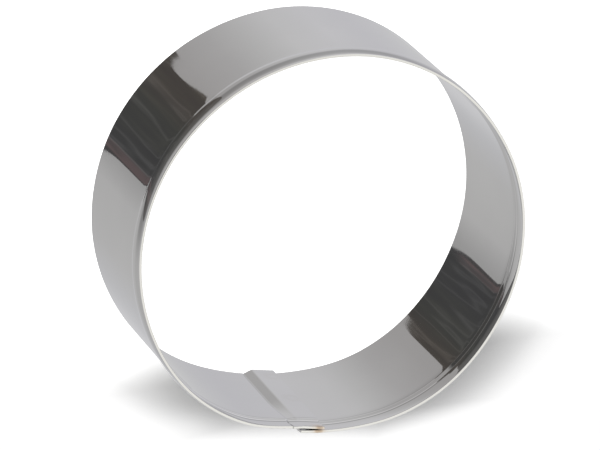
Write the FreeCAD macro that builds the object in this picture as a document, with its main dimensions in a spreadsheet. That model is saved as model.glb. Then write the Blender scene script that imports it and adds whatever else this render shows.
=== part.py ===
import FreeCAD, Part
import math
import os

import Sketcher
from FreeCAD import Vector

# Round cookie cutter: a strip of sheet bent into a ring.
# One end of the strip is joggled inward and spot-welded inside the other end.
# Millimetres. +Z runs along the ring's axis, from the cutting edge at z = 0 to the beaded grip edge.
# The lap faces -Y. The origin is the middle of the ring, across and along the lap, at the cutting edge.

NODE = "cutter_ring"

# Driving dimensions: name, value, what it measures
SIZES = [
    ("outer_diameter", 75.0, "outside of the plain wall"),
    ("band_height", 30.0, "cutting edge to grip edge"),
    ("sheet_thickness", 0.5, "strip"),
    ("edge_break", 0.1, "chamfer on the strip's slit edges"),
    ("bead_height", 4.5, "bead along the grip edge"),
    ("bead_depth", 0.3, "how far the bead stands out of the wall"),
    ("bead_blend", 1.0, "outside radius where the wall turns into the bead"),
    ("flat_depth", 1.4, "how far the ring is flattened at the lap"),
    ("flat_easing", 12.0, "how much larger the flattened stretch's radius is than the ring's"),
    ("shoulder_tightening", 6.0, "how much smaller the radius is on both sides of that stretch"),
    ("lap_length", 4.6, "overlap of the two strip ends"),
    ("lap_root_gap", 0.35, "clearance between the layers where the joggle ends"),
    ("lap_tip_gap", 0.12, "clearance between the layers at the inner end's tip"),
    ("joggle_bend", 0.1, "tightest inside radius of the joggle, where the bead crosses it"),
    ("joggle_slope", 28.0, "slope of the joggle, in degrees"),
    ("joggle_overlap", 0.4, "how far the joggle reaches past the outer end's tip"),
    ("weld_diameter", 1.8, "spot weld"),
    ("weld_setback", 1.4, "inner end's tip back to the row of spot welds"),
    ("weld_inset", 3.5, "cutting edge to the lowest spot weld"),
]

doc = FreeCAD.newDocument("cookie_cutter")
sheet = doc.addObject("Spreadsheet::Sheet", "Sizes")
for row, (name, value, meaning) in enumerate(SIZES, start=1):
    sheet.set(f"A{row}", name)
    sheet.set(f"B{row}", str(value))
    sheet.set(f"C{row}", meaning)
    sheet.setAlias(f"B{row}", name)
doc.recompute()


def new_sketch(body, name, plane_role):
    """An empty sketch on one of the body's own origin planes."""
    plane = next(item for item in body.Origin.OriginFeatures if item.Role == plane_role)
    sketch = body.newObject("Sketcher::SketchObject", name)
    sketch.AttachmentSupport = [(plane, "")]
    sketch.MapMode = "FlatFace"
    return sketch


def bind(sketch, name, kind, elements, start, expression):
    """A named dimension whose value follows the sheet. Start is the value it is first drawn with."""
    index = sketch.addConstraint(Sketcher.Constraint(kind, *elements, start))
    sketch.renameConstraint(index, name)
    sketch.setExpression(f"Constraints.{name}", expression)


def arc(centre, radius, start, end):
    """A counter-clockwise arc in the sketch plane, by its two end angles in degrees."""
    circle = Part.Circle(centre, Vector(0, 0, 1), radius)
    return Part.ArcOfCircle(circle, math.radians(start), math.radians(end))


def line(start, end):
    return Part.LineSegment(start, end)


def heading(centre, point):
    """Angle of a point seen from a centre, in degrees from 0 to 360."""
    return math.degrees(math.atan2(point.y - centre.y, point.x - centre.x)) % 360


def on_circle(centre, radius, degrees):
    angle = math.radians(degrees)
    return centre + Vector(radius * math.cos(angle), radius * math.sin(angle), 0)


def edge_chamfer():
    """Chamfer on the slit edges, which can't be more than the sheet leaves room for."""
    return min(sheet.edge_break, WIDEST_CHAMFER * sheet.sheet_thickness)


# The largest chamfer, as a share of the sheet's thickness
WIDEST_CHAMFER = 0.4
CHAMFER_RULE = f"min(Sizes.edge_break; {WIDEST_CHAMFER}*Sizes.sheet_thickness)"

# Points of a sketch element, as the constraints name them
START, END, CENTRE = range(1, 4)
X_AXIS, Y_AXIS = range(-1, -3, -1)
ORIGIN = (X_AXIS, START)


def draw_section(body):
    """Cross-section of the strip, seen where the ring crosses +X: plain wall below, bead above."""
    outside = sheet.outer_diameter / 2
    inside = outside - sheet.sheet_thickness
    height = sheet.band_height
    chamfer = edge_chamfer()
    blend = sheet.bead_blend
    half_bead = sheet.bead_height / 2
    bead_radius = (half_bead ** 2 + sheet.bead_depth ** 2) / (2 * sheet.bead_depth)
    inner_bead_radius = bead_radius - sheet.sheet_thickness
    bead_centre = Vector(outside + sheet.bead_depth - bead_radius, height - half_bead, 0)
    rise = math.sqrt((bead_radius + blend) ** 2 - (bead_radius + blend - sheet.bead_depth) ** 2)
    blend_centre = Vector(outside + blend, bead_centre.y - rise, 0)
    turn = heading(blend_centre, bead_centre)
    rim_angle = math.degrees(math.asin(half_bead / bead_radius))
    rim_turn = math.degrees(chamfer / bead_radius)
    bead_top_out = on_circle(bead_centre, bead_radius, rim_angle - rim_turn)
    rim_top_out = on_circle(bead_centre, bead_radius - chamfer, rim_angle)
    rim_top_in = on_circle(bead_centre, inner_bead_radius + chamfer, rim_angle)
    bead_top_in = on_circle(bead_centre, inner_bead_radius, rim_angle - rim_turn)

    bottom, foot_out, wall_out, blend_out, bead_out, rim_out = range(6)
    rim, rim_in, bead_in, blend_in, wall_in, foot_in = range(6, 12)
    sketch = new_sketch(body, "strip_section", "XZ_Plane")
    sketch.addGeometry([
        line(Vector(inside + chamfer, 0, 0), Vector(outside - chamfer, 0, 0)),
        line(Vector(outside - chamfer, 0, 0), Vector(outside, chamfer, 0)),
        line(Vector(outside, chamfer, 0), Vector(outside, blend_centre.y, 0)),
        arc(blend_centre, blend, turn, 180),
        arc(bead_centre, bead_radius, turn - 180, rim_angle - rim_turn),
        line(bead_top_out, rim_top_out),
        line(rim_top_out, rim_top_in),
        line(rim_top_in, bead_top_in),
        arc(bead_centre, inner_bead_radius, turn - 180, rim_angle - rim_turn),
        arc(blend_centre, blend + sheet.sheet_thickness, turn, 180),
        line(Vector(inside, blend_centre.y, 0), Vector(inside, chamfer, 0)),
        line(Vector(inside, chamfer, 0), Vector(inside + chamfer, 0, 0)),
    ], False)

    smooth_joins = [
        (wall_out, END, blend_out, END), (blend_out, START, bead_out, START),
        (bead_in, START, blend_in, START), (blend_in, END, wall_in, START),
    ]
    corners = [
        (bottom, END, foot_out, START), (foot_out, END, wall_out, START),
        (bead_out, END, rim_out, START), (rim_out, END, rim, START),
        (rim, END, rim_in, START), (rim_in, END, bead_in, END),
        (wall_in, END, foot_in, START), (foot_in, END, bottom, START),
    ]
    for join in smooth_joins:
        sketch.addConstraint(Sketcher.Constraint("Tangent", *join))
    for corner in corners:
        sketch.addConstraint(Sketcher.Constraint("Coincident", *corner))
    sketch.addConstraint([
        Sketcher.Constraint("Horizontal", bottom),
        Sketcher.Constraint("PointOnObject", bottom, START, X_AXIS),
        Sketcher.Constraint("Vertical", wall_out),
        Sketcher.Constraint("Vertical", wall_in),
        Sketcher.Constraint("Coincident", blend_in, CENTRE, blend_out, CENTRE),
        Sketcher.Constraint("Coincident", bead_in, CENTRE, bead_out, CENTRE),
        Sketcher.Constraint("PointOnObject", bead_out, CENTRE, rim),
        Sketcher.Constraint("Equal", rim_out, rim_in),
    ])
    bead_rule = "(Sizes.bead_height^2/4 + Sizes.bead_depth^2)/(2*Sizes.bead_depth)"
    bind(sketch, "outside_radius", "DistanceX", (*ORIGIN, wall_out, START), outside,
         "Sizes.outer_diameter/2")
    bind(sketch, "thickness", "DistanceX", (wall_in, START, wall_out, END), sheet.sheet_thickness,
         "Sizes.sheet_thickness")
    bind(sketch, "foot_out_width", "DistanceX", (foot_out, START, foot_out, END), chamfer, CHAMFER_RULE)
    bind(sketch, "foot_out_height", "DistanceY", (foot_out, START, foot_out, END), chamfer, CHAMFER_RULE)
    bind(sketch, "foot_in_width", "DistanceX", (foot_in, START, foot_in, END), chamfer, CHAMFER_RULE)
    bind(sketch, "foot_in_height", "DistanceY", (foot_in, END, foot_in, START), chamfer, CHAMFER_RULE)
    bind(sketch, "rim_chamfer", "Distance", (rim_out,), chamfer * math.sqrt(2), f"{CHAMFER_RULE}*sqrt(2)")
    bind(sketch, "rim_out_height", "Distance", (rim_out, START, rim), chamfer, CHAMFER_RULE)
    bind(sketch, "rim_in_height", "Distance", (rim_in, END, rim), chamfer, CHAMFER_RULE)
    bind(sketch, "rim_level", "DistanceY", (*ORIGIN, rim, START), height, "Sizes.band_height")
    bind(sketch, "blend_radius", "Radius", (blend_out,), blend, "Sizes.bead_blend")
    bind(sketch, "bead_radius", "Radius", (bead_out,), bead_radius, bead_rule)
    bind(sketch, "bead_middle", "DistanceY", (*ORIGIN, bead_out, CENTRE), bead_centre.y,
         "Sizes.band_height - Sizes.bead_height/2")
    bind(sketch, "bead_crown", "DistanceX", (*ORIGIN, bead_out, CENTRE), bead_centre.x,
         f"Sizes.outer_diameter/2 + Sizes.bead_depth - {bead_rule}")
    return sketch


def draw_path(body):
    """Middle line of the strip, seen from above, from the outer end's tip round to the inner end's tip."""
    half_sheet = sheet.sheet_thickness / 2
    half_lap = sheet.lap_length / 2
    ring_radius = sheet.outer_diameter / 2 - half_sheet
    flat_radius = ring_radius + sheet.flat_easing
    shoulder_radius = ring_radius - sheet.shoulder_tightening
    bend = sheet.joggle_bend + half_sheet + sheet.bead_depth
    ring_centre = Vector(0, 0, 0)
    flat_centre = Vector(0, sheet.flat_easing + sheet.flat_depth, 0)
    ring_step = sheet.shoulder_tightening
    flat_step = sheet.flat_easing + sheet.shoulder_tightening
    lean = (flat_step ** 2 - ring_step ** 2 - flat_centre.y ** 2) / (2 * ring_step * flat_centre.y)
    shoulder_end = math.degrees(math.acos(lean))
    right_shoulder = on_circle(ring_centre, ring_step, shoulder_end - 90)
    left_shoulder = on_circle(ring_centre, ring_step, 270 - shoulder_end)
    right_turn = heading(flat_centre, right_shoulder)
    left_turn = heading(flat_centre, left_shoulder)
    outer_tip = 270 - math.degrees(half_lap / flat_radius)
    tip = on_circle(flat_centre, flat_radius, outer_tip)
    tongue_root = tip + Vector(sheet.joggle_overlap, sheet.sheet_thickness + sheet.lap_root_gap, 0)
    tongue_tip = Vector(half_lap, tip.y + sheet.sheet_thickness + sheet.lap_tip_gap, 0)
    slope = sheet.joggle_slope
    back_centre = tongue_root - Vector(0, bend, 0)
    ramp_top = on_circle(back_centre, bend, 90 + slope)
    run = ramp_top.y - tip.y - bend * (1 - math.cos(math.radians(slope)))
    ramp_foot = ramp_top - Vector(run / math.tan(math.radians(slope)), run, 0)
    in_centre = on_circle(ramp_foot, bend, 90 + slope)

    flat_right, shoulder_right, ring, shoulder_left, flat_left = range(5)
    bend_in, ramp, bend_back, tongue = range(5, 9)
    sketch = new_sketch(body, "strip_path", "XY_Plane")
    sketch.addGeometry([
        arc(flat_centre, flat_radius, outer_tip, right_turn),
        arc(right_shoulder, shoulder_radius, right_turn, 270 + shoulder_end),
        arc(ring_centre, ring_radius, shoulder_end - 90, 270 - shoulder_end),
        arc(left_shoulder, shoulder_radius, 270 - shoulder_end, left_turn),
        arc(flat_centre, flat_radius, left_turn, heading(flat_centre, in_centre)),
        arc(in_centre, bend, heading(flat_centre, in_centre), 270 + slope),
        line(ramp_foot, ramp_top),
        arc(back_centre, bend, 90, 90 + slope),
        line(tongue_root, tongue_tip),
    ], False)

    joins = [
        (flat_right, END, shoulder_right, START), (shoulder_right, END, ring, START),
        (ring, END, shoulder_left, START), (shoulder_left, END, flat_left, START),
        (flat_left, END, bend_in, START), (bend_in, END, ramp, START),
        (ramp, END, bend_back, END), (bend_back, START, tongue, START),
    ]
    for join in joins:
        sketch.addConstraint(Sketcher.Constraint("Tangent", *join))
    sketch.addConstraint([
        Sketcher.Constraint("Coincident", ring, CENTRE, *ORIGIN),
        Sketcher.Constraint("PointOnObject", flat_right, CENTRE, Y_AXIS),
        Sketcher.Constraint("Coincident", flat_left, CENTRE, flat_right, CENTRE),
        Sketcher.Constraint("Equal", flat_right, flat_left),
        Sketcher.Constraint("Equal", shoulder_right, shoulder_left),
        Sketcher.Constraint("Equal", bend_in, bend_back),
    ])
    bind(sketch, "ring_radius", "Radius", (ring,), ring_radius,
         "(Sizes.outer_diameter - Sizes.sheet_thickness)/2")
    bind(sketch, "flat_radius", "Radius", (flat_right,), flat_radius,
         "(Sizes.outer_diameter - Sizes.sheet_thickness)/2 + Sizes.flat_easing")
    bind(sketch, "shoulder_radius", "Radius", (shoulder_right,), shoulder_radius,
         "(Sizes.outer_diameter - Sizes.sheet_thickness)/2 - Sizes.shoulder_tightening")
    bind(sketch, "flat_centre", "DistanceY", (*ORIGIN, flat_right, CENTRE), flat_centre.y,
         "Sizes.flat_easing + Sizes.flat_depth")
    bind(sketch, "outer_tip", "DistanceX", (flat_right, START, *ORIGIN), half_lap,
         "Sizes.lap_length/2")
    bind(sketch, "inner_tip", "DistanceX", (*ORIGIN, tongue, END), half_lap,
         "Sizes.lap_length/2")
    bind(sketch, "joggle_reach", "DistanceX", (flat_right, START, tongue, START), sheet.joggle_overlap,
         "Sizes.joggle_overlap")
    bind(sketch, "root_step", "DistanceY", (flat_right, START, tongue, START),
         sheet.sheet_thickness + sheet.lap_root_gap, "Sizes.sheet_thickness + Sizes.lap_root_gap")
    bind(sketch, "tip_step", "DistanceY", (flat_right, START, tongue, END),
         sheet.sheet_thickness + sheet.lap_tip_gap, "Sizes.sheet_thickness + Sizes.lap_tip_gap")
    bind(sketch, "bend_radius", "Radius", (bend_in,), bend,
         "Sizes.joggle_bend + Sizes.sheet_thickness/2 + Sizes.bead_depth")
    bind(sketch, "ramp_slope", "Angle", (ramp,), math.radians(slope), "Sizes.joggle_slope * 1 deg")
    return sketch


def draw_welds(body, name, levels, bulge):
    """Round weld spots between the layers, padded from the middle of the outer layer to the inner one's."""
    sketch = new_sketch(body, name, "XZ_Plane")
    across_rule = "Sizes.lap_length/2 - Sizes.weld_setback"
    across = sheet.lap_length / 2 - sheet.weld_setback
    outer_layer = "Sizes.outer_diameter/2 - Sizes.flat_depth - Sizes.sheet_thickness/2"
    sketch.setExpression("AttachmentOffset.Base.z", f"{outer_layer} + {bulge}")
    for number, (start, level) in enumerate(levels):
        spot = Part.Circle(Vector(across, start, 0), Vector(0, 0, 1), sheet.weld_diameter / 2)
        sketch.addGeometry(spot, False)
        bind(sketch, f"size_{number}", "Diameter", (number,), sheet.weld_diameter,
             "Sizes.weld_diameter")
        bind(sketch, f"across_{number}", "DistanceX", (*ORIGIN, number, CENTRE), across,
             across_rule)
        bind(sketch, f"level_{number}", "DistanceY", (*ORIGIN, number, CENTRE), start, level)
    pad = body.newObject("PartDesign::Pad", name + "_pad")
    pad.Profile = sketch
    pad.Reversed = True
    tongue = "(Sizes.lap_length - Sizes.joggle_overlap)"
    opening = f"(Sizes.lap_root_gap - Sizes.lap_tip_gap)*Sizes.weld_setback/{tongue}"
    pad.setExpression("Length", f"Sizes.sheet_thickness + Sizes.lap_tip_gap + {opening}")
    return pad


body = doc.addObject("PartDesign::Body", "CutterRing")
body.Label = NODE
body.setExpression("Placement.Base.y", "-Sizes.flat_depth/2")

section = draw_section(body)
path = draw_path(body)
doc.recompute()

strip = body.newObject("PartDesign::AdditivePipe", "bent_strip")
strip.Profile = section
strip.Spine = path
doc.recompute()

wall_welds = draw_welds(body, "wall_welds", [
    (sheet.weld_inset, "Sizes.weld_inset"),
    (sheet.band_height / 2, "Sizes.band_height/2"),
], "0")
rim_weld = draw_welds(body, "rim_weld", [
    (sheet.band_height - sheet.bead_height / 2, "Sizes.band_height - Sizes.bead_height/2"),
], "Sizes.bead_depth")
body.Tip = rim_weld
doc.recompute()

# Every object is sound and the ring is one closed solid before it is written
for item in doc.Objects:
    if "Invalid" in item.State or "Error" in item.State:
        raise RuntimeError(f"{item.Name} failed: {item.State}")
ring_shape = body.Shape
if ring_shape.isNull() or not ring_shape.isValid() or len(ring_shape.Solids) != 1:
    raise RuntimeError("the ring is not one valid solid")

os.makedirs("parts", exist_ok=True)
ring_shape.exportStep(os.path.join("parts", NODE + ".step"))
print(f"{NODE}: {ring_shape.Volume:.1f} cubic millimetres")
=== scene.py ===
import math

import bpy
from mathutils import Matrix, Vector


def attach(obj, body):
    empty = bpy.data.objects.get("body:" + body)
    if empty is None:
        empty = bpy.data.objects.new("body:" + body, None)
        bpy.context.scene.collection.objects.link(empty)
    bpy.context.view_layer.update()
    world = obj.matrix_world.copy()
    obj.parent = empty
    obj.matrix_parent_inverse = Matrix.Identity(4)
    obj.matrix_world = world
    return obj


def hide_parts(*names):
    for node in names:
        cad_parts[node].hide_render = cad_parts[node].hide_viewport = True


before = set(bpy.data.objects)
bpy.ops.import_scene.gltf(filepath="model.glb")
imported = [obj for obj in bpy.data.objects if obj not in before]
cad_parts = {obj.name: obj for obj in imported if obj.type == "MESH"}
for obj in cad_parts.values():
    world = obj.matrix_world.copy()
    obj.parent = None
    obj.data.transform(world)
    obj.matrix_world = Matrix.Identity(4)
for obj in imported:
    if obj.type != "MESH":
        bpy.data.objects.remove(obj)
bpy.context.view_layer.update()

MM = 0.001

# Sizes of the ring in millimetres, the same as in the CAD source
OUTSIDE = 37.5
HEIGHT = 30.0
SHEET = 0.5
HALF = SHEET / 2
BEAD_HEIGHT = 4.5
BEAD_DEPTH = 0.3
BLEND = 1.0
FLAT_DEPTH = 1.4
FLAT_EASING = 12.0
SHOULDER = 6.0
LAP = 4.6
ROOT_GAP = 0.35
TIP_GAP = 0.12
BEND = 0.1 + HALF + BEAD_DEPTH
SLOPE = 28.0
JOGGLE_OVERLAP = 0.4
WELD_X = LAP / 2 - 1.4
WELD_LEVELS = (3.5, 15.0, HEIGHT - BEAD_HEIGHT / 2)
WELD_RADIUS = 0.9

# Sizes that only the scene has, also in millimetres.
# The bead starts this far below its middle, and its crest is nearer to the wall than to the rim
BEAD_RUN = 2.38
CREST = 27.0
# The strip's slit edges and ends are slightly rounded
EDGE = 0.1
END_EDGE = 0.08
CORNER_STEPS = 5
END_STEPS = 4
# How the sheet wanders: height, waves round the ring, phase, twist for each millimetre up
RIPPLES = ((0.030, 5, 0.8, 0.0), (0.016, 11, 2.1, 0.05), (0.005, 23, 0.0, 0.12))
RIPPLE_MIDDLE = -0.03
CALM_WIDTH = 9
# Where the joggle's easy bend starts, to the left of the lap and upwards
SETTLE_X = -13.0
SETTLE_Z = 14.5
# The welder's dents: their depth, and the square of how far they spread
DENT_DEPTH = 0.010
DENT_SPREAD = 1.1
# The plug at a weld: how far in from the outer layer's middle, share of the weld's radius
WELD_PROFILE = ((0.2, 1.0), (0.264, 1.0), (0.336, 0.86), (0.416, 0.86), (0.496, 1.0), (0.6, 1.0))
WELD_SIDES = 28


def polar(centre, radius, degrees):
    a = math.radians(degrees)
    return (centre[0] + radius * math.cos(a), centre[1] + radius * math.sin(a))


def heading(centre, point):
    return math.degrees(math.atan2(point[1] - centre[1], point[0] - centre[0])) % 360


def ease(t):
    """A smooth step from 0 to 1."""
    t = min(1.0, max(0.0, t))
    return t * t * (3 - 2 * t)


def middle_line():
    """Stations along the strip's middle line, from the outer end's tip to the inner end's tip.
    Each is (x, y, outward x, outward y, stretch), seen from above."""
    ring_r = OUTSIDE - HALF
    flat_r = ring_r + FLAT_EASING
    shoulder_r = ring_r - SHOULDER
    ring_c = (0.0, 0.0)
    flat_c = (0.0, FLAT_EASING + FLAT_DEPTH)
    step = FLAT_EASING + SHOULDER
    lean = (step ** 2 - SHOULDER ** 2 - flat_c[1] ** 2) / (2 * SHOULDER * flat_c[1])
    turn = math.degrees(math.acos(lean))
    right_c = polar(ring_c, SHOULDER, turn - 90)
    left_c = polar(ring_c, SHOULDER, 270 - turn)
    right_turn = heading(flat_c, right_c)
    left_turn = heading(flat_c, left_c)
    tip_angle = 270 - math.degrees(LAP / 2 / flat_r)
    tip = polar(flat_c, flat_r, tip_angle)
    root = (tip[0] + JOGGLE_OVERLAP, tip[1] + SHEET + ROOT_GAP)
    tongue_tip = (LAP / 2, tip[1] + SHEET + TIP_GAP)
    back_c = (root[0], root[1] - BEND)
    ramp_top = polar(back_c, BEND, 90 + SLOPE)
    run = ramp_top[1] - tip[1] - BEND * (1 - math.cos(math.radians(SLOPE)))
    ramp_foot = (ramp_top[0] - run / math.tan(math.radians(SLOPE)), ramp_top[1] - run)
    in_c = polar(ramp_foot, BEND, 90 + SLOPE)
    in_angle = heading(flat_c, in_c)
    # The outer end keeps its close stations this far past the middle of the lap
    fine_reach = 5.0
    near_lap = math.degrees(fine_reach / flat_r)
    closest = 0.02
    stations = []

    def add(point, out, stretch):
        if not stations or math.dist(stations[-1][:2], point) > closest:
            stations.append((point[0], point[1], out[0], out[1], stretch))

    def sweep(centre, radius, first, last, pitch, stretch="wall"):
        count = max(2, round(math.radians(abs(last - first)) * radius / pitch))
        for i in range(count + 1):
            angle = first + (last - first) * i / count
            add(polar(centre, radius, angle), polar((0, 0), 1 if last > first else -1, angle), stretch)

    def straight(first, last, pitch, stretch="wall"):
        length = math.dist(first, last)
        count = max(2, round(length / pitch))
        tx, ty = (last[0] - first[0]) / length, (last[1] - first[1]) / length
        for i in range(count + 1):
            along = length * i / count
            add((first[0] + tx * along, first[1] + ty * along), (ty, -tx), stretch)

    sweep(flat_c, flat_r, tip_angle, 270 + near_lap, pitch=0.16, stretch="outer_end")
    sweep(flat_c, flat_r, 270 + near_lap, right_turn, pitch=0.5)
    sweep(right_c, shoulder_r, right_turn, 270 + turn, pitch=0.6)
    sweep(ring_c, ring_r, turn - 90, 270 - turn, pitch=0.65)
    sweep(left_c, shoulder_r, 270 - turn, left_turn, pitch=0.6)
    sweep(flat_c, flat_r, left_turn, in_angle, pitch=0.45)
    sweep(in_c, BEND, in_angle, 270 + SLOPE, pitch=0.07)
    straight(ramp_foot, ramp_top, pitch=0.1)
    sweep(back_c, BEND, 90 + SLOPE, 90, pitch=0.07)
    straight(root, tongue_tip, pitch=0.16, stretch="tongue")
    return [(x, y - FLAT_DEPTH / 2, ox, oy, stretch) for x, y, ox, oy, stretch in stations]


def strip_section():
    """Matching points of the strip's outer and inner faces, from the middle of the cutting edge to
    the middle of the grip edge, each (offset from the middle line, height)."""
    # Blend, then a tighter curve up to the crest, then a flatter one to the rim
    foot_z = HEIGHT - BEAD_HEIGHT / 2 - BEAD_RUN
    climb = 2 * math.atan2(BEAD_DEPTH, CREST - foot_z)
    near_r = (CREST - foot_z) / math.sin(climb) - BLEND
    far_r = ((HEIGHT - CREST) ** 2 + BEAD_DEPTH ** 2) / (2 * BEAD_DEPTH)
    rim = math.asin((HEIGHT - CREST) / far_r)
    top = HALF + BEAD_DEPTH
    outer, inner = [(0.0, 0.0)], [(0.0, 0.0)]
    for i in range(CORNER_STEPS):
        a = math.pi / 2 * i / CORNER_STEPS
        outer.append((HALF - EDGE + EDGE * math.sin(a), EDGE - EDGE * math.cos(a)))
        inner.append((-outer[-1][0], outer[-1][1]))
    # Rows up the plain wall, each stretch (its upper end, rows), closer together at the weld spots
    levels = [EDGE, EDGE + 0.02]
    for end, count in ((2.0, 3), (5.0, 15), (13.4, 6), (16.6, 16), (foot_z, 6)):
        start = levels[-1]
        levels += [start + (end - start) * i / count for i in range(1, count + 1)]
    for z in levels:
        outer.append((HALF, z))
        inner.append((-HALF, z))
    blend_steps, near_steps, far_steps = 6, 12, 18
    for i in range(1, blend_steps + 1):
        a = climb * i / blend_steps
        for points, radius in ((outer, BLEND), (inner, BLEND + SHEET)):
            points.append((HALF + BLEND - radius * math.cos(a), foot_z + radius * math.sin(a)))
    for i in range(1, near_steps + 1):
        a = climb * (i / near_steps - 1)
        for points, radius in ((outer, near_r), (inner, near_r - SHEET)):
            points.append((top - near_r + radius * math.cos(a), CREST + radius * math.sin(a)))
    for points, radius in ((outer, far_r), (inner, far_r - SHEET)):
        for i in range(1, far_steps + 1):
            a = (rim - EDGE / radius) * i / far_steps
            points.append((top - far_r + radius * math.cos(a), CREST + radius * math.sin(a)))
    along, up = (math.cos(rim), math.sin(rim)), (-math.sin(rim), math.cos(rim))
    for points, face, side in ((outer, far_r, 1), (inner, far_r - SHEET, -1)):
        for i in range(1, CORNER_STEPS + 1):
            a = math.pi / 2 * i / CORNER_STEPS
            r = face - side * EDGE * (1 - math.cos(a))
            t = EDGE * (math.sin(a) - 1)
            points.append((top - far_r + r * along[0] + t * up[0], CREST + r * along[1] + t * up[1]))
        r = far_r - HALF
        points.append((top - far_r + r * along[0], CREST + r * along[1]))
    return outer, inner


def ripple(x, y, z):
    """How far the bent sheet wanders from the true ring. It lies still round the lap."""
    a = math.atan2(y, x)
    lap = math.exp(-((x / CALM_WIDTH) ** 2)) if y < 0 else 0.0
    waves = sum(size * math.sin(turns * a + phase + twist * z) for size, turns, phase, twist in RIPPLES)
    return (waves + RIPPLE_MIDDLE) * (1 - lap)


def settle(x, y, z):
    """How far the strip's inner end lies further in than the plain joggle puts it. Towards the bead
    the joggle runs out into a long easy bend."""
    left_of_lap = -16 < x < 0 and y <= -30
    if not left_of_lap:
        return 0.0
    flat_c = FLAT_EASING + FLAT_DEPTH / 2
    rise = OUTSIDE - HALF + FLAT_EASING - math.hypot(x, y - flat_c)
    step = SHEET + ROOT_GAP
    root = -LAP / 2 + JOGGLE_OVERLAP
    bend = step * ease((x - SETTLE_X) / (root - SETTLE_X))
    return max(0.0, bend - rise) * ease((z - SETTLE_Z) / (HEIGHT - SETTLE_Z))


def dimple(x, z):
    """Depth of the shallow dents that the spot welder's tips leave."""
    total = 0.0
    for level in WELD_LEVELS:
        d = math.hypot(x - WELD_X, z - level)
        total += DENT_DEPTH * math.exp(-d * d / DENT_SPREAD)
    return total


def bridge(first, second, count):
    """Quads between two closed rows of vertices, each row given by the number of its first vertex."""
    quads = []
    for k in range(count):
        n = (k + 1) % count
        quads.append((first + k, second + k, second + n, first + n))
    return quads


def ring_mesh():
    """The bent strip with its two ends."""
    stations = middle_line()
    outer, inner = strip_section()
    loop = outer + inner[-2:0:-1]
    count, size = len(loop), len(outer)
    # The weld dents keep off the strip's edges by this many points
    margin = 8
    inward = []
    for k in range(count):
        (u0, z0), (u1, z1) = loop[k - 1], loop[(k + 1) % count]
        length = math.hypot(u1 - u0, z1 - z0)
        inward.append((-(z1 - z0) / length, (u1 - u0) / length))

    def section_at(station, inset=0.0, shift=0.0):
        x, y, ox, oy, stretch = station
        points = []
        for k, (u, z) in enumerate(loop):
            offset = u + inward[k][0] * inset + ripple(x, y, z)
            if stretch == "wall":
                offset -= settle(x, y, z)
            if stretch == "outer_end" and margin < k < size - margin:
                offset -= dimple(x, z)
            if stretch == "tongue" and size + margin < k < count - margin:
                offset += dimple(x, z)
            points.append((x + ox * offset - oy * shift,
                           y + oy * offset + ox * shift,
                           z + inward[k][1] * inset))
        return points

    def rounded_end(station, side):
        """Sections that grow from the end's flat face to the full size."""
        sections = []
        for i in range(END_STEPS):
            a = math.pi / 2 * i / END_STEPS
            inset, shift = END_EDGE * (1 - math.sin(a)), side * END_EDGE * (1 - math.cos(a))
            sections.append(section_at(station, inset, shift))
        return sections

    rows = rounded_end(stations[0], 1)
    rows += [section_at(station) for station in stations[1:-1]]
    rows += rounded_end(stations[-1], -1)[::-1]

    verts = [point for row in rows for point in row]
    faces = []
    for s in range(len(rows) - 1):
        faces += bridge(s * count, (s + 1) * count, count)
    for base, first in ((0, True), ((len(rows) - 1) * count, False)):
        for k in range(size - 1):
            quad = [k, k + 1, (count - k - 1) % count, (count - k) % count]
            quad = [base + v for i, v in enumerate(quad) if v not in quad[:i]]
            faces.append(tuple(quad if first else quad[::-1]))
    return verts, faces


def weld_spots():
    """Fused metal between the layers: a short waisted plug at each weld."""
    verts, faces = [], []
    outer_y = -(OUTSIDE - FLAT_DEPTH / 2 - HALF)
    for level in WELD_LEVELS:
        out = BEAD_DEPTH if level > HEIGHT - BEAD_HEIGHT else 0.0
        base = len(verts)
        for depth, share in WELD_PROFILE:
            for k in range(WELD_SIDES):
                x, z = polar((WELD_X, level), WELD_RADIUS * share, 360 * k / WELD_SIDES)
                verts.append((x, outer_y - out + depth, z))
        last = base + (len(WELD_PROFILE) - 1) * WELD_SIDES
        for start in range(base, last, WELD_SIDES):
            faces += bridge(start, start + WELD_SIDES, WELD_SIDES)
        faces.append(tuple(base + k for k in range(WELD_SIDES)))
        faces.append(tuple(last + k for k in reversed(range(WELD_SIDES))))
    return verts, faces


def new_object(name, data):
    obj = bpy.data.objects.new(name, data)
    bpy.context.scene.collection.objects.link(obj)
    return obj


def mesh_object(name, verts, faces, material):
    """An object from vertices in millimetres."""
    mesh = bpy.data.meshes.new(name)
    mesh.from_pydata([Vector(v) * MM for v in verts], [], faces)
    mesh.validate()
    mesh.update()
    mesh.materials.append(material)
    return new_object(name, mesh)


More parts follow.
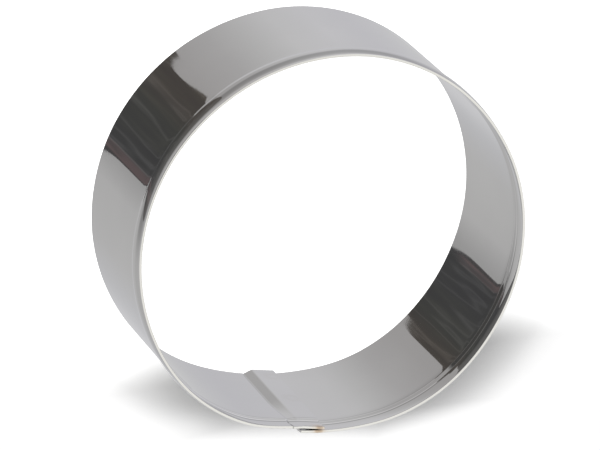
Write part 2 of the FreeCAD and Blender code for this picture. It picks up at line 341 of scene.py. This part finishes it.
class Nodes:
    """Short calls for building one node tree."""

    def __init__(self, tree):
        self.tree = tree
        tree.nodes.clear()

    def add(self, kind, **settings):
        node = self.tree.nodes.new(kind)
        for key, value in settings.items():
            setattr(node, key, value)
        return node

    def feed(self, socket, value):
        if hasattr(value, "is_output"):
            self.tree.links.new(value, socket)
        else:
            socket.default_value = value

    def call(self, kind, *values, **settings):
        """Add a node, feed its inputs in order and give its first output."""
        node = self.add(kind, **settings)
        for socket, value in zip(node.inputs, values):
            self.feed(socket, value)
        return node.outputs[0]

    def named(self, kind, **values):
        """Add a node and feed its inputs by name, with _ for a space."""
        node = self.add(kind)
        for name, value in values.items():
            self.feed(node.inputs[name.replace("_", " ")], value)
        return node

    def math(self, operation, *values, clamp=False):
        return self.call("ShaderNodeMath", *values, operation=operation, use_clamp=clamp)

    def place(self, output):
        """Texture coordinates, whole and as x, y and z."""
        whole = self.add("ShaderNodeTexCoord").outputs[output]
        split = self.add("ShaderNodeSeparateXYZ")
        self.feed(split.inputs[0], whole)
        return whole, *split.outputs

    def ramp(self, value, stops):
        node = self.add("ShaderNodeValToRGB")
        elements = node.color_ramp.elements
        while len(elements) < len(stops):
            elements.new(0.5)
        for element, (position, colour) in zip(elements, stops):
            element.position = position
            element.color = (*colour, 1) if isinstance(colour, tuple) else (colour, colour, colour, 1)
        self.feed(node.inputs[0], value)
        return node.outputs[0]

    def noise(self, vector, scale, detail=3.0, roughness=0.5):
        settings = {"Vector": vector, "Scale": scale, "Detail": detail, "Roughness": roughness}
        return self.named("ShaderNodeTexNoise", **settings).outputs[0]

    def stretched(self, vector, scale):
        return self.named("ShaderNodeMapping", Vector=vector, Scale=scale).outputs[0]

    def mix(self, factor, a, b, blend="MIX"):
        node = self.add("ShaderNodeMix", data_type="RGBA", blend_type=blend)
        self.feed(node.inputs[0], factor)
        self.feed(node.inputs[6], a)
        self.feed(node.inputs[7], b)
        return node.outputs[2]

    def distance(self, a, b, centre=(0.0, 0.0)):
        """How far the point (a, b) lies from the centre."""
        squares = []
        for value, middle in zip((a, b), centre):
            offset = self.math("SUBTRACT", value, middle)
            squares.append(self.math("MULTIPLY", offset, offset))
        return self.math("SQRT", self.math("ADD", *squares))

    def rise(self, value, low, high, start=0.0, end=1.0):
        """A smooth step from start, at low, to end, at high."""
        return self.call("ShaderNodeMapRange", value, low, high, start, end, interpolation_type="SMOOTHSTEP")

    def band(self, value, low, high, soft):
        """1 between low and high, 0 outside, with soft edges."""
        edges = [self.rise(value, edge - soft / 2, edge + soft / 2) for edge in (low, high)]
        return self.math("SUBTRACT", *edges, clamp=True)


def new_material(name):
    material = bpy.data.materials.new(name)
    material.use_nodes = True
    return material, Nodes(material.node_tree)


# Heat tint on the lap: a brown patch where the grip edge is welded, a bare trace at the other spots.
# Places and distances in millimetres, and ramps over the share of TINT_REACH
LAP_SIDE = -34.0
TINT_REACH = 4.0
TINT_WANDER = 0.9
BURN = (WELD_X + 0.3, HEIGHT - 0.5)
TRACE_SHARE = [(0.0, 0.0), (0.10, 0.03), (0.30, 0.10), (0.60, 0.0)]
BURN_SHARE = [(0.0, 0.95), (0.18, 0.85), (0.30, 0.45), (0.55, 0.0)]
BURN_TINT = [
    (0.0, (0.40, 0.30, 0.22)), (0.14, (0.60, 0.47, 0.35)),
    (0.26, (0.80, 0.70, 0.58)), (0.45, (0.78, 0.73, 0.69)),
]
TRACE_TINT = (0.52, 0.47, 0.40, 1)
# Cut edges' colour: partly the bare metal's own, partly a painted highlight, brighter and creamier than the
# sheet
CUT_AND_HIGHLIGHT_TINT = (0.90, 0.895, 0.87, 1)
CUT_TOP = HEIGHT - 0.09


def steel():
    """Bright rolled stainless sheet: faint rolling lines, fine scratches, a little haze and heat tint."""
    material, n = new_material("stainless_sheet")
    place, x, y, z = n.place("Object")

    # Rolling lines run along the strip, so they change quickly with height and slowly round the ring
    rolling = n.noise(n.stretched(place, (60.0, 60.0, 4200.0)), scale=1.0, detail=4.0, roughness=0.6)
    scratches = n.noise(n.stretched(place, (300.0, 300.0, 16000.0)), scale=1.0, detail=2.0)
    haze = n.noise(place, scale=140.0, detail=4.0, roughness=0.6)
    smudge = n.noise(place, scale=45.0, roughness=0.55)

    lap = n.math("LESS_THAN", y, LAP_SIDE * MM)
    wander = n.math("MULTIPLY", n.math("SUBTRACT", n.noise(place, scale=900.0), 0.5), TINT_WANDER * MM)

    def away(across, level):
        distance = n.math("ADD", n.distance(x, z, (across * MM, level * MM)), wander)
        return n.math("MULTIPLY", distance, 1 / (TINT_REACH * MM), clamp=True)

    traces = n.math("MINIMUM", away(WELD_X, WELD_LEVELS[0]), away(WELD_X, WELD_LEVELS[1]))
    trace = n.math("MULTIPLY", n.ramp(traces, TRACE_SHARE), lap)
    burn = away(*BURN)
    burn_share = n.math("MULTIPLY", n.ramp(burn, BURN_SHARE), lap)
    burn_tint = n.ramp(burn, BURN_TINT)

    base = n.ramp(smudge, [(0.3, (0.700, 0.700, 0.698)), (0.7, (0.735, 0.735, 0.730))])
    colour = n.mix(trace, base, TRACE_TINT)
    colour = n.mix(burn_share, colour, burn_tint)

    # Cut edges: bare and rougher than the rolled faces, and brighter and creamier in colour, which is partly a
    # painted highlight along the rims
    low_edge = n.math("LESS_THAN", z, EDGE * MM)
    high_edge = n.math("GREATER_THAN", z, CUT_TOP * MM)
    cut = n.math("MAXIMUM", low_edge, high_edge)
    colour = n.mix(n.math("MULTIPLY", cut, 0.85), colour, n.mix(burn_share, CUT_AND_HIGHLIGHT_TINT, burn_tint))

    rough = 0.012
    for part, amount in ((haze, 0.024), (rolling, 0.018), (cut, 0.25)):
        rough = n.math("ADD", rough, n.math("MULTIPLY", part, amount))

    marks = n.math("ADD", rolling, n.math("MULTIPLY", scratches, 0.4))
    fine = n.named("ShaderNodeBump", Strength=0.35, Distance=0.0000009, Height=marks)
    waves = n.noise(place, scale=75.0, detail=1.0, roughness=0.4)
    normal = n.named("ShaderNodeBump", Strength=0.5, Distance=0.00004, Height=waves, Normal=fine.outputs[0])

    shader = n.named("ShaderNodeBsdfPrincipled", Metallic=1.0, IOR=2.5,
                     Base_Color=colour, Roughness=rough, Normal=normal.outputs[0])
    n.named("ShaderNodeOutputMaterial", Surface=shader.outputs[0])
    return material


# How bright the studio is towards each heading, as seen in the metal: degrees from -X, brightness
STUDIO = [
    (0, (0.402, 0.398, 0.398)), (13, (0.412, 0.408, 0.408)), (30, (0.533, 0.527, 0.528)),
    (48, (0.545, 0.540, 0.540)), (66, (0.551, 0.546, 0.548)), (90, (0.580, 0.580, 0.596)),
    (114, (0.634, 0.634, 0.652)), (140, (0.620, 0.620, 0.628)), (162, (0.613, 0.613, 0.625)),
    (180, (0.614, 0.611, 0.635)), (198, (0.622, 0.616, 0.648)), (222, (0.664, 0.658, 0.682)),
    (246, (0.646, 0.640, 0.652)), (264, (0.570, 0.564, 0.568)), (282, (0.488, 0.478, 0.480)),
    (306, (0.428, 0.416, 0.414)), (330, (0.408, 0.398, 0.394)), (360, (0.402, 0.398, 0.398)),
]
# The same by height, as a share: degrees above straight down, share on the dim side, on the bright side
LEVELS = [
    (0, 1.0, 1.0), (10, 0.97, 1.0), (24, 1.0, 1.0), (30, 1.0, 1.0), (33, 0.64, 0.92), (38, 0.68, 0.93),
    (42, 0.85, 0.97), (45, 1.30, 1.05), (49, 1.50, 1.10), (52, 1.0, 1.0), (97, 0.98, 0.98), (180, 0.98, 0.98),
]
# Where the dim side lies: share of the turn, share of dimness
DIM_SIDE = [(0.0, 1.0), (0.06, 1.0), (0.11, 0.0), (0.50, 0.0), (0.60, 1.0), (1.0, 1.0)]
# The pale ceiling in the metal, brightest about 20 degrees off straight up: degrees above straight down
CEILING_FROM = 98.0
CEILING_BLEND = 0.04
CEILING = [
    (98, (0.70, 0.69, 0.665)), (134, (0.86, 0.85, 0.82)), (158, (1.0, 0.99, 0.96)), (172, (0.87, 0.86, 0.835)),
]
# The dark gap between the walls, by share of the turn and by share of the way up
GAP_TURN = [(0.0, 1.0), (0.004, 0.0), (0.878, 0.0), (0.886, 1.0), (1.0, 1.0)]
GAP_RISE = [(0.275, 0.0), (0.29, 1.0), (0.53, 1.0), (0.55, 0.0)]
GAP_COLOUR = (0.07, 0.068, 0.066, 1)
WHITE = (1, 1, 1, 1)
FILL = 0.06


def studio_world():
    """White behind the ring. The metal sees soft walls, lighter and darker by heading and height."""
    world = bpy.data.worlds.new("studio")
    bpy.context.scene.world = world
    world.use_nodes = True
    n = Nodes(world.node_tree)
    _, x, y, z = n.place("Generated")
    turn = n.math("ADD", n.math("DIVIDE", n.math("ARCTAN2", y, x), 2 * math.pi), 0.5)
    rise = n.math("ADD", n.math("DIVIDE", n.math("ARCSINE", z), math.pi), 0.5)
    walls = n.ramp(turn, [(angle / 360, grey) for angle, grey in STUDIO])
    dim = n.ramp(rise, [(level / 180, share) for level, share, _ in LEVELS])
    bright = n.ramp(rise, [(level / 180, share) for level, _, share in LEVELS])
    walls = n.mix(1.0, walls, n.mix(n.ramp(turn, DIM_SIDE), bright, dim), "MULTIPLY")
    above = n.ramp(rise, [(CEILING_FROM / 180, 0.0), (CEILING_FROM / 180 + CEILING_BLEND, 1.0)])
    walls = n.mix(above, walls, n.ramp(rise, [(level / 180, colour) for level, colour in CEILING]))
    # Seen level or from below, the dark cloth is a gap between the walls
    gap = n.math("MULTIPLY", n.ramp(turn, GAP_TURN), n.ramp(rise, GAP_RISE))
    walls = n.mix(gap, walls, GAP_COLOUR)

    seen = n.named("ShaderNodeBackground", Color=walls)
    backdrop = n.named("ShaderNodeBackground", Color=WHITE)
    fill = n.named("ShaderNodeBackground", Color=WHITE, Strength=FILL)
    ray = n.add("ShaderNodeLightPath").outputs
    glossy = n.call("ShaderNodeMixShader", ray["Is Glossy Ray"], fill.outputs[0], seen.outputs[0])
    final = n.call("ShaderNodeMixShader", ray["Is Camera Ray"], glossy, backdrop.outputs[0])
    n.named("ShaderNodeOutputWorld", Surface=final)


# A dark cloth lies below the ring, mostly on the -X side. Depth and outline in millimetres from the ring's
# foot and axis
CLOTH_DEPTH = 200.0
CLOTH_OUTLINE = [
    (-70.5, -20.5), (-73.0, -23.8), (-76.0, -28.2), (-80, -31.0), (-90, -33.6), (-103, -35.8), (-113, -35),
    (-123, -28), (-130.5, -16.0), (-138, -13.9), (-156, -16.5), (-228, -50), (-236, 10), (-222, 80),
    (-188, 142), (-140, 178), (-110, 155), (-92.6, 120), (-92.6, 109.3), (-92.8, 104.5), (-92.1, 101.6),
    (-90.3, 101.0), (-87.3, 102.1), (-83.1, 104.4), (-76.1, 108.5), (-70.5, 103), (-68, 84), (-63.0, 64.4),
    (-58.5, 60.0), (-55.6, 57.9), (-53.4, 56.0), (-54.3, 52.7), (-57.2, 48.0), (-58.8, 44.0), (-55, 41.5),
    (-46, 36), (-20, 14), (6, -4), (16, -14), (14, -30), (18, -48), (24, -72), (8, -66), (-10, -58),
    (-28, -51), (-45, -42), (-58, -31), (-66, -23),
]
FOLDS = [(0.30, (0.064, 0.063, 0.064)), (0.55, (0.070, 0.070, 0.068)), (0.75, (0.086, 0.085, 0.080))]
CREASES = [(0.0, 0.8), (0.012, 0.4), (0.045, 0.0)]
CREASE_COLOUR = (0.115, 0.114, 0.112, 1)
# The cloth is warmer round to the +Y side, up to this many degrees from -X
WARM_REACH = 60.0
WARM = [
    (0.0, (0.94, 0.94, 0.98)), (0.45, (1.0, 1.0, 0.96)), (0.62, (1.22, 1.10, 1.02)), (1.0, (1.29, 1.14, 1.03)),
]
# The hem starts at the first angle up to the first radius, and at the second beyond the second
HEM_RADII = (98.0, 125.0)
HEM_ANGLES = (-19.8, -6.6)
HEM_WIDTH = 12.0
HEM = [
    (0.0, (0.085, 0.078, 0.078)), (0.08, (0.085, 0.078, 0.078)), (0.15, (0.150, 0.115, 0.116)),
    (0.44, (0.138, 0.108, 0.110)), (0.50, (0.17, 0.155, 0.155)), (0.56, (0.07, 0.07, 0.07)),
    (1.0, (0.07, 0.07, 0.07)),
]
FAR_REACH = 400.0
FAR_COLOUR = (0.36, 0.35, 0.34, 1)
NEAR_REACH = 100.0
PALE_REACH = 100.0
PALE = [(0.26, (0.20, 0.195, 0.19)), (0.55, (0.36, 0.35, 0.34))]
SHADE_COLOUR = (0.05, 0.05, 0.05, 1)


def rounded(points, parts=8):
    """A closed smooth curve through the points."""
    curve = []
    for i in range(len(points)):
        p0, p1, p2, p3 = (Vector(points[(i + k) % len(points)]) for k in (-1, 0, 1, 2))
        # Runs of very different length get tangents of their own length, so that nothing overshoots
        run = (p2 - p1).length
        m1 = (p2 - p0).normalized() * min(run, (p1 - p0).length)
        m2 = (p3 - p1).normalized() * min(run, (p3 - p2).length)
        for k in range(parts):
            t = k / parts
            h1 = 2 * t ** 3 - 3 * t ** 2 + 1
            h2 = t ** 3 - 2 * t ** 2 + t
            h3 = -2 * t ** 3 + 3 * t ** 2
            h4 = t ** 3 - t ** 2
            curve.append(p1 * h1 + m1 * h2 + p2 * h3 + m2 * h4)
    return curve


def dark_cloth():
    """The dark folds of cloth that the polished wall mirrors. Only reflections see it."""
    material, n = new_material("dark_cloth")
    _, x, y, _ = n.place("Object")
    # Degrees from -X and millimetres from the axis
    angle = n.math("MULTIPLY", n.math("ARCTAN2", y, n.math("MULTIPLY", x, -1.0)), 180 / math.pi)
    radius = n.math("MULTIPLY", n.distance(x, y), 1000.0)
    spread = n.call("ShaderNodeCombineXYZ", n.math("MULTIPLY", angle, 0.11), n.math("MULTIPLY", radius, 0.030))

    folds = n.noise(spread, scale=1.7)
    broad = n.noise(spread, scale=0.9, detail=1.0)
    crease = n.noise(spread, scale=0.75, detail=2.0, roughness=0.6)
    crease = n.math("ABSOLUTE", n.math("SUBTRACT", crease, 0.5))
    cloth = n.mix(n.ramp(crease, CREASES), n.ramp(folds, FOLDS), CREASE_COLOUR)
    warm = n.ramp(n.math("MULTIPLY", angle, 1 / WARM_REACH, clamp=True), WARM)
    cloth = n.mix(1.0, cloth, warm, "MULTIPLY")

    # A worn reddish hem follows the cloth's border on the -Y side
    start = n.rise(radius, *HEM_RADII, *HEM_ANGLES)
    hem = n.math("MULTIPLY", n.math("SUBTRACT", angle, start), 1 / HEM_WIDTH, clamp=True)
    worn = n.math("MULTIPLY_ADD", n.noise(spread, scale=3.2, detail=2.0), 2.6, -0.55, clamp=True)
    worn = n.math("MULTIPLY", worn, n.band(radius, 82.0, 900.0, 7.0))
    worn = n.math("MULTIPLY", worn, n.ramp(hem, [(0.5, 1.0), (0.62, 0.0)]))
    cloth = n.mix(worn, cloth, n.ramp(hem, HEM))

    # The cloth catches more light further out, and below the ring, where it is paler towards -Y
    far = n.ramp(n.math("MULTIPLY", radius, 1 / FAR_REACH, clamp=True), [(0.38, 0.0), (0.60, 0.35)])
    cloth = n.mix(far, cloth, FAR_COLOUR)
    near = n.math("MULTIPLY", radius, 1 / NEAR_REACH, clamp=True)
    near = n.ramp(near, [(0.20, 0.62), (0.44, 0.5), (0.68, 0.0)])
    pale = n.ramp(n.math("MULTIPLY", y, -1 / (PALE_REACH * MM), clamp=True), PALE)
    cloth = n.mix(near, cloth, pale)
    cloth = n.mix(n.math("MULTIPLY", broad, 0.25), cloth, SHADE_COLOUR)
    glow = n.named("ShaderNodeEmission", Color=cloth)
    n.named("ShaderNodeOutputMaterial", Surface=glow.outputs[0])

    outline = [(p.x, p.y, -CLOTH_DEPTH) for p in rounded(CLOTH_OUTLINE)]
    cloth_card = mesh_object("dark_cloth", outline, [tuple(range(len(outline)))], material)
    cloth_card.visible_camera = False
    cloth_card.visible_diffuse = False
    cloth_card.visible_shadow = False
    cloth_card.visible_transmission = False


FLOOR_HALF = 3000.0
FLOOR_COLOUR = (0.90, 0.90, 0.90, 1)
# Painted light: the table glows for the camera only, by place, painting out the lamps' shadow wherever the
# photograph has no shadow and fading the rest as painted shade. Places in metres on the table, and smooth
# steps as (from, to, low, high).
# Inside the ring a painted glow keeps the table white and hides the ring's shadow, up to just before the lap
PAINTED_WHITE_CENTRE = (0.0, -0.0007)
PAINTED_WHITE_RADIUS = 0.0372
PAINTED_WHITE_EDGE_Y = -0.0365
# Behind the ring the painted glow lifts it too, and less so towards the viewer
FRONT_LEAN = 0.13
FRONT = (-0.037, -0.027, 0.0, 0.8)
# The painted glow rises some way from the ring, so the shadow fades there as painted shade, measured from
# where the near rim hides the table
PAINTED_SHADE_CENTRE = (0.0116, -0.0104)
PAINTED_SHADE_START = 0.0355
PAINTED_SHADE_END = (0.0362, 0.0512, 0.0, 0.50)
# Below the lap, where the ring comes nearest to the viewer, the painted glow ends the shadow sooner, along a
# line that bends
LINE_BEND_X = 0.025
LINE_SLOPE = 0.35
LINE_END = (0.0452, 0.0514, 0.0, 0.50)


def floor():
    """A pale table top at the cutting edge. It keeps the ring's soft shadow only where a painted glow, which
    the camera alone sees, does not paint it out.
    """
    material, n = new_material("pale_floor_painted_glow")
    _, x, y, _ = n.place("Object")
    # Painted light and shade: a camera-only glow lifts the table to white inside and behind the ring, and
    # rises away from the ring so its shadow fades
    disc = n.band(n.distance(x, y, PAINTED_WHITE_CENTRE), -1.0, PAINTED_WHITE_RADIUS, 0.0004)
    painted_white_inside = n.math("MULTIPLY", disc, n.band(y, PAINTED_WHITE_EDGE_Y, 1.0, 0.0003))
    front = n.rise(n.math("SUBTRACT", y, n.math("MULTIPLY", x, FRONT_LEAN)), *FRONT)
    reach = n.distance(x, y, PAINTED_SHADE_CENTRE)
    clear = n.math("MULTIPLY", front, n.band(reach, PAINTED_SHADE_START, 9.0, 0.002))
    bend = n.math("MAXIMUM", n.math("SUBTRACT", x, LINE_BEND_X), 0.0)
    low = n.rise(n.math("SUBTRACT", n.math("MULTIPLY", bend, LINE_SLOPE), y), *LINE_END)
    edge = n.math("MAXIMUM", n.rise(reach, *PAINTED_SHADE_END), low)
    glow = n.math("MAXIMUM", painted_white_inside, n.math("ADD", clear, edge))
    seen = n.add("ShaderNodeLightPath").outputs["Is Camera Ray"]
    matt = n.named("ShaderNodeBsdfDiffuse", Color=FLOOR_COLOUR)
    # The painted glow, seen by camera rays only
    painted_glow = n.named("ShaderNodeEmission", Strength=n.math("MULTIPLY", seen, glow))
    both = n.call("ShaderNodeAddShader", matt.outputs[0], painted_glow.outputs[0])
    n.named("ShaderNodeOutputMaterial", Surface=both)

    corners = [(x * FLOOR_HALF, y * FLOOR_HALF, 0) for x, y in ((-1, -1), (1, -1), (1, 1), (-1, 1))]
    plane = mesh_object("floor", corners, [(0, 1, 2, 3)], material)
    # The polished walls would otherwise mirror only the table right beside them
    plane.visible_glossy = False


# Both lamps, in metres
LAMP_DISTANCE = 1.2
LAMP_SIZE = 0.20


def lamp(name, azimuth, elevation, power):
    """A soft square lamp that faces the ring."""
    data = bpy.data.lights.new(name, "AREA")
    data.shape = "SQUARE"
    data.size = LAMP_SIZE
    data.energy = power
    obj = new_object(name, data)
    a, e = math.radians(azimuth), math.radians(elevation)
    place = Vector((math.cos(a) * math.cos(e), math.sin(a) * math.cos(e), math.sin(e))) * LAMP_DISTANCE
    obj.location = place
    obj.rotation_euler = (-place).to_track_quat("-Z", "Y").to_euler()
    # The metal mirrors the studio's ceiling instead
    obj.visible_glossy = False


# The photograph's camera: the lens in millimetres, its place in metres, and its own axes
LENS = 336.0
SENSOR = 36.0
CAMERA_PLACE = (-0.35784, 0.32045, 0.93765)
CAMERA_RIGHT = (0.93946, 0.10972, 0.32460)
CAMERA_UP = (0.00305, 0.94463, -0.32811)
CAMERA_BACK = (-0.34263, 0.30924, 0.88712)


def camera():
    data = bpy.data.cameras.new("camera")
    data.lens = LENS
    data.sensor_width = SENSOR
    data.sensor_fit = "HORIZONTAL"
    data.clip_start = 0.01
    data.clip_end = 100.0
    obj = new_object("camera", data)
    turn = Matrix((CAMERA_RIGHT, CAMERA_UP, CAMERA_BACK)).transposed()
    obj.matrix_world = Matrix.Translation(Vector(CAMERA_PLACE)) @ turn.to_4x4()
    bpy.context.scene.camera = obj


scene = bpy.context.scene
scene.view_settings.view_transform = "Standard"

metal = steel()
ring_verts, ring_faces = ring_mesh()
spot_verts, spot_faces = weld_spots()
shift = len(ring_verts)
ring_faces += [tuple(v + shift for v in face) for face in spot_faces]
ring = mesh_object("cutter_strip", ring_verts + spot_verts, ring_faces, metal)
ring.data.shade_smooth()
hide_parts("cutter_ring")
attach(ring, "root")

studio_world()
dark_cloth()
floor()
lamp("key", azimuth=47, elevation=70, power=4.6)
lamp("side", azimuth=161, elevation=49, power=4.9)
camera()
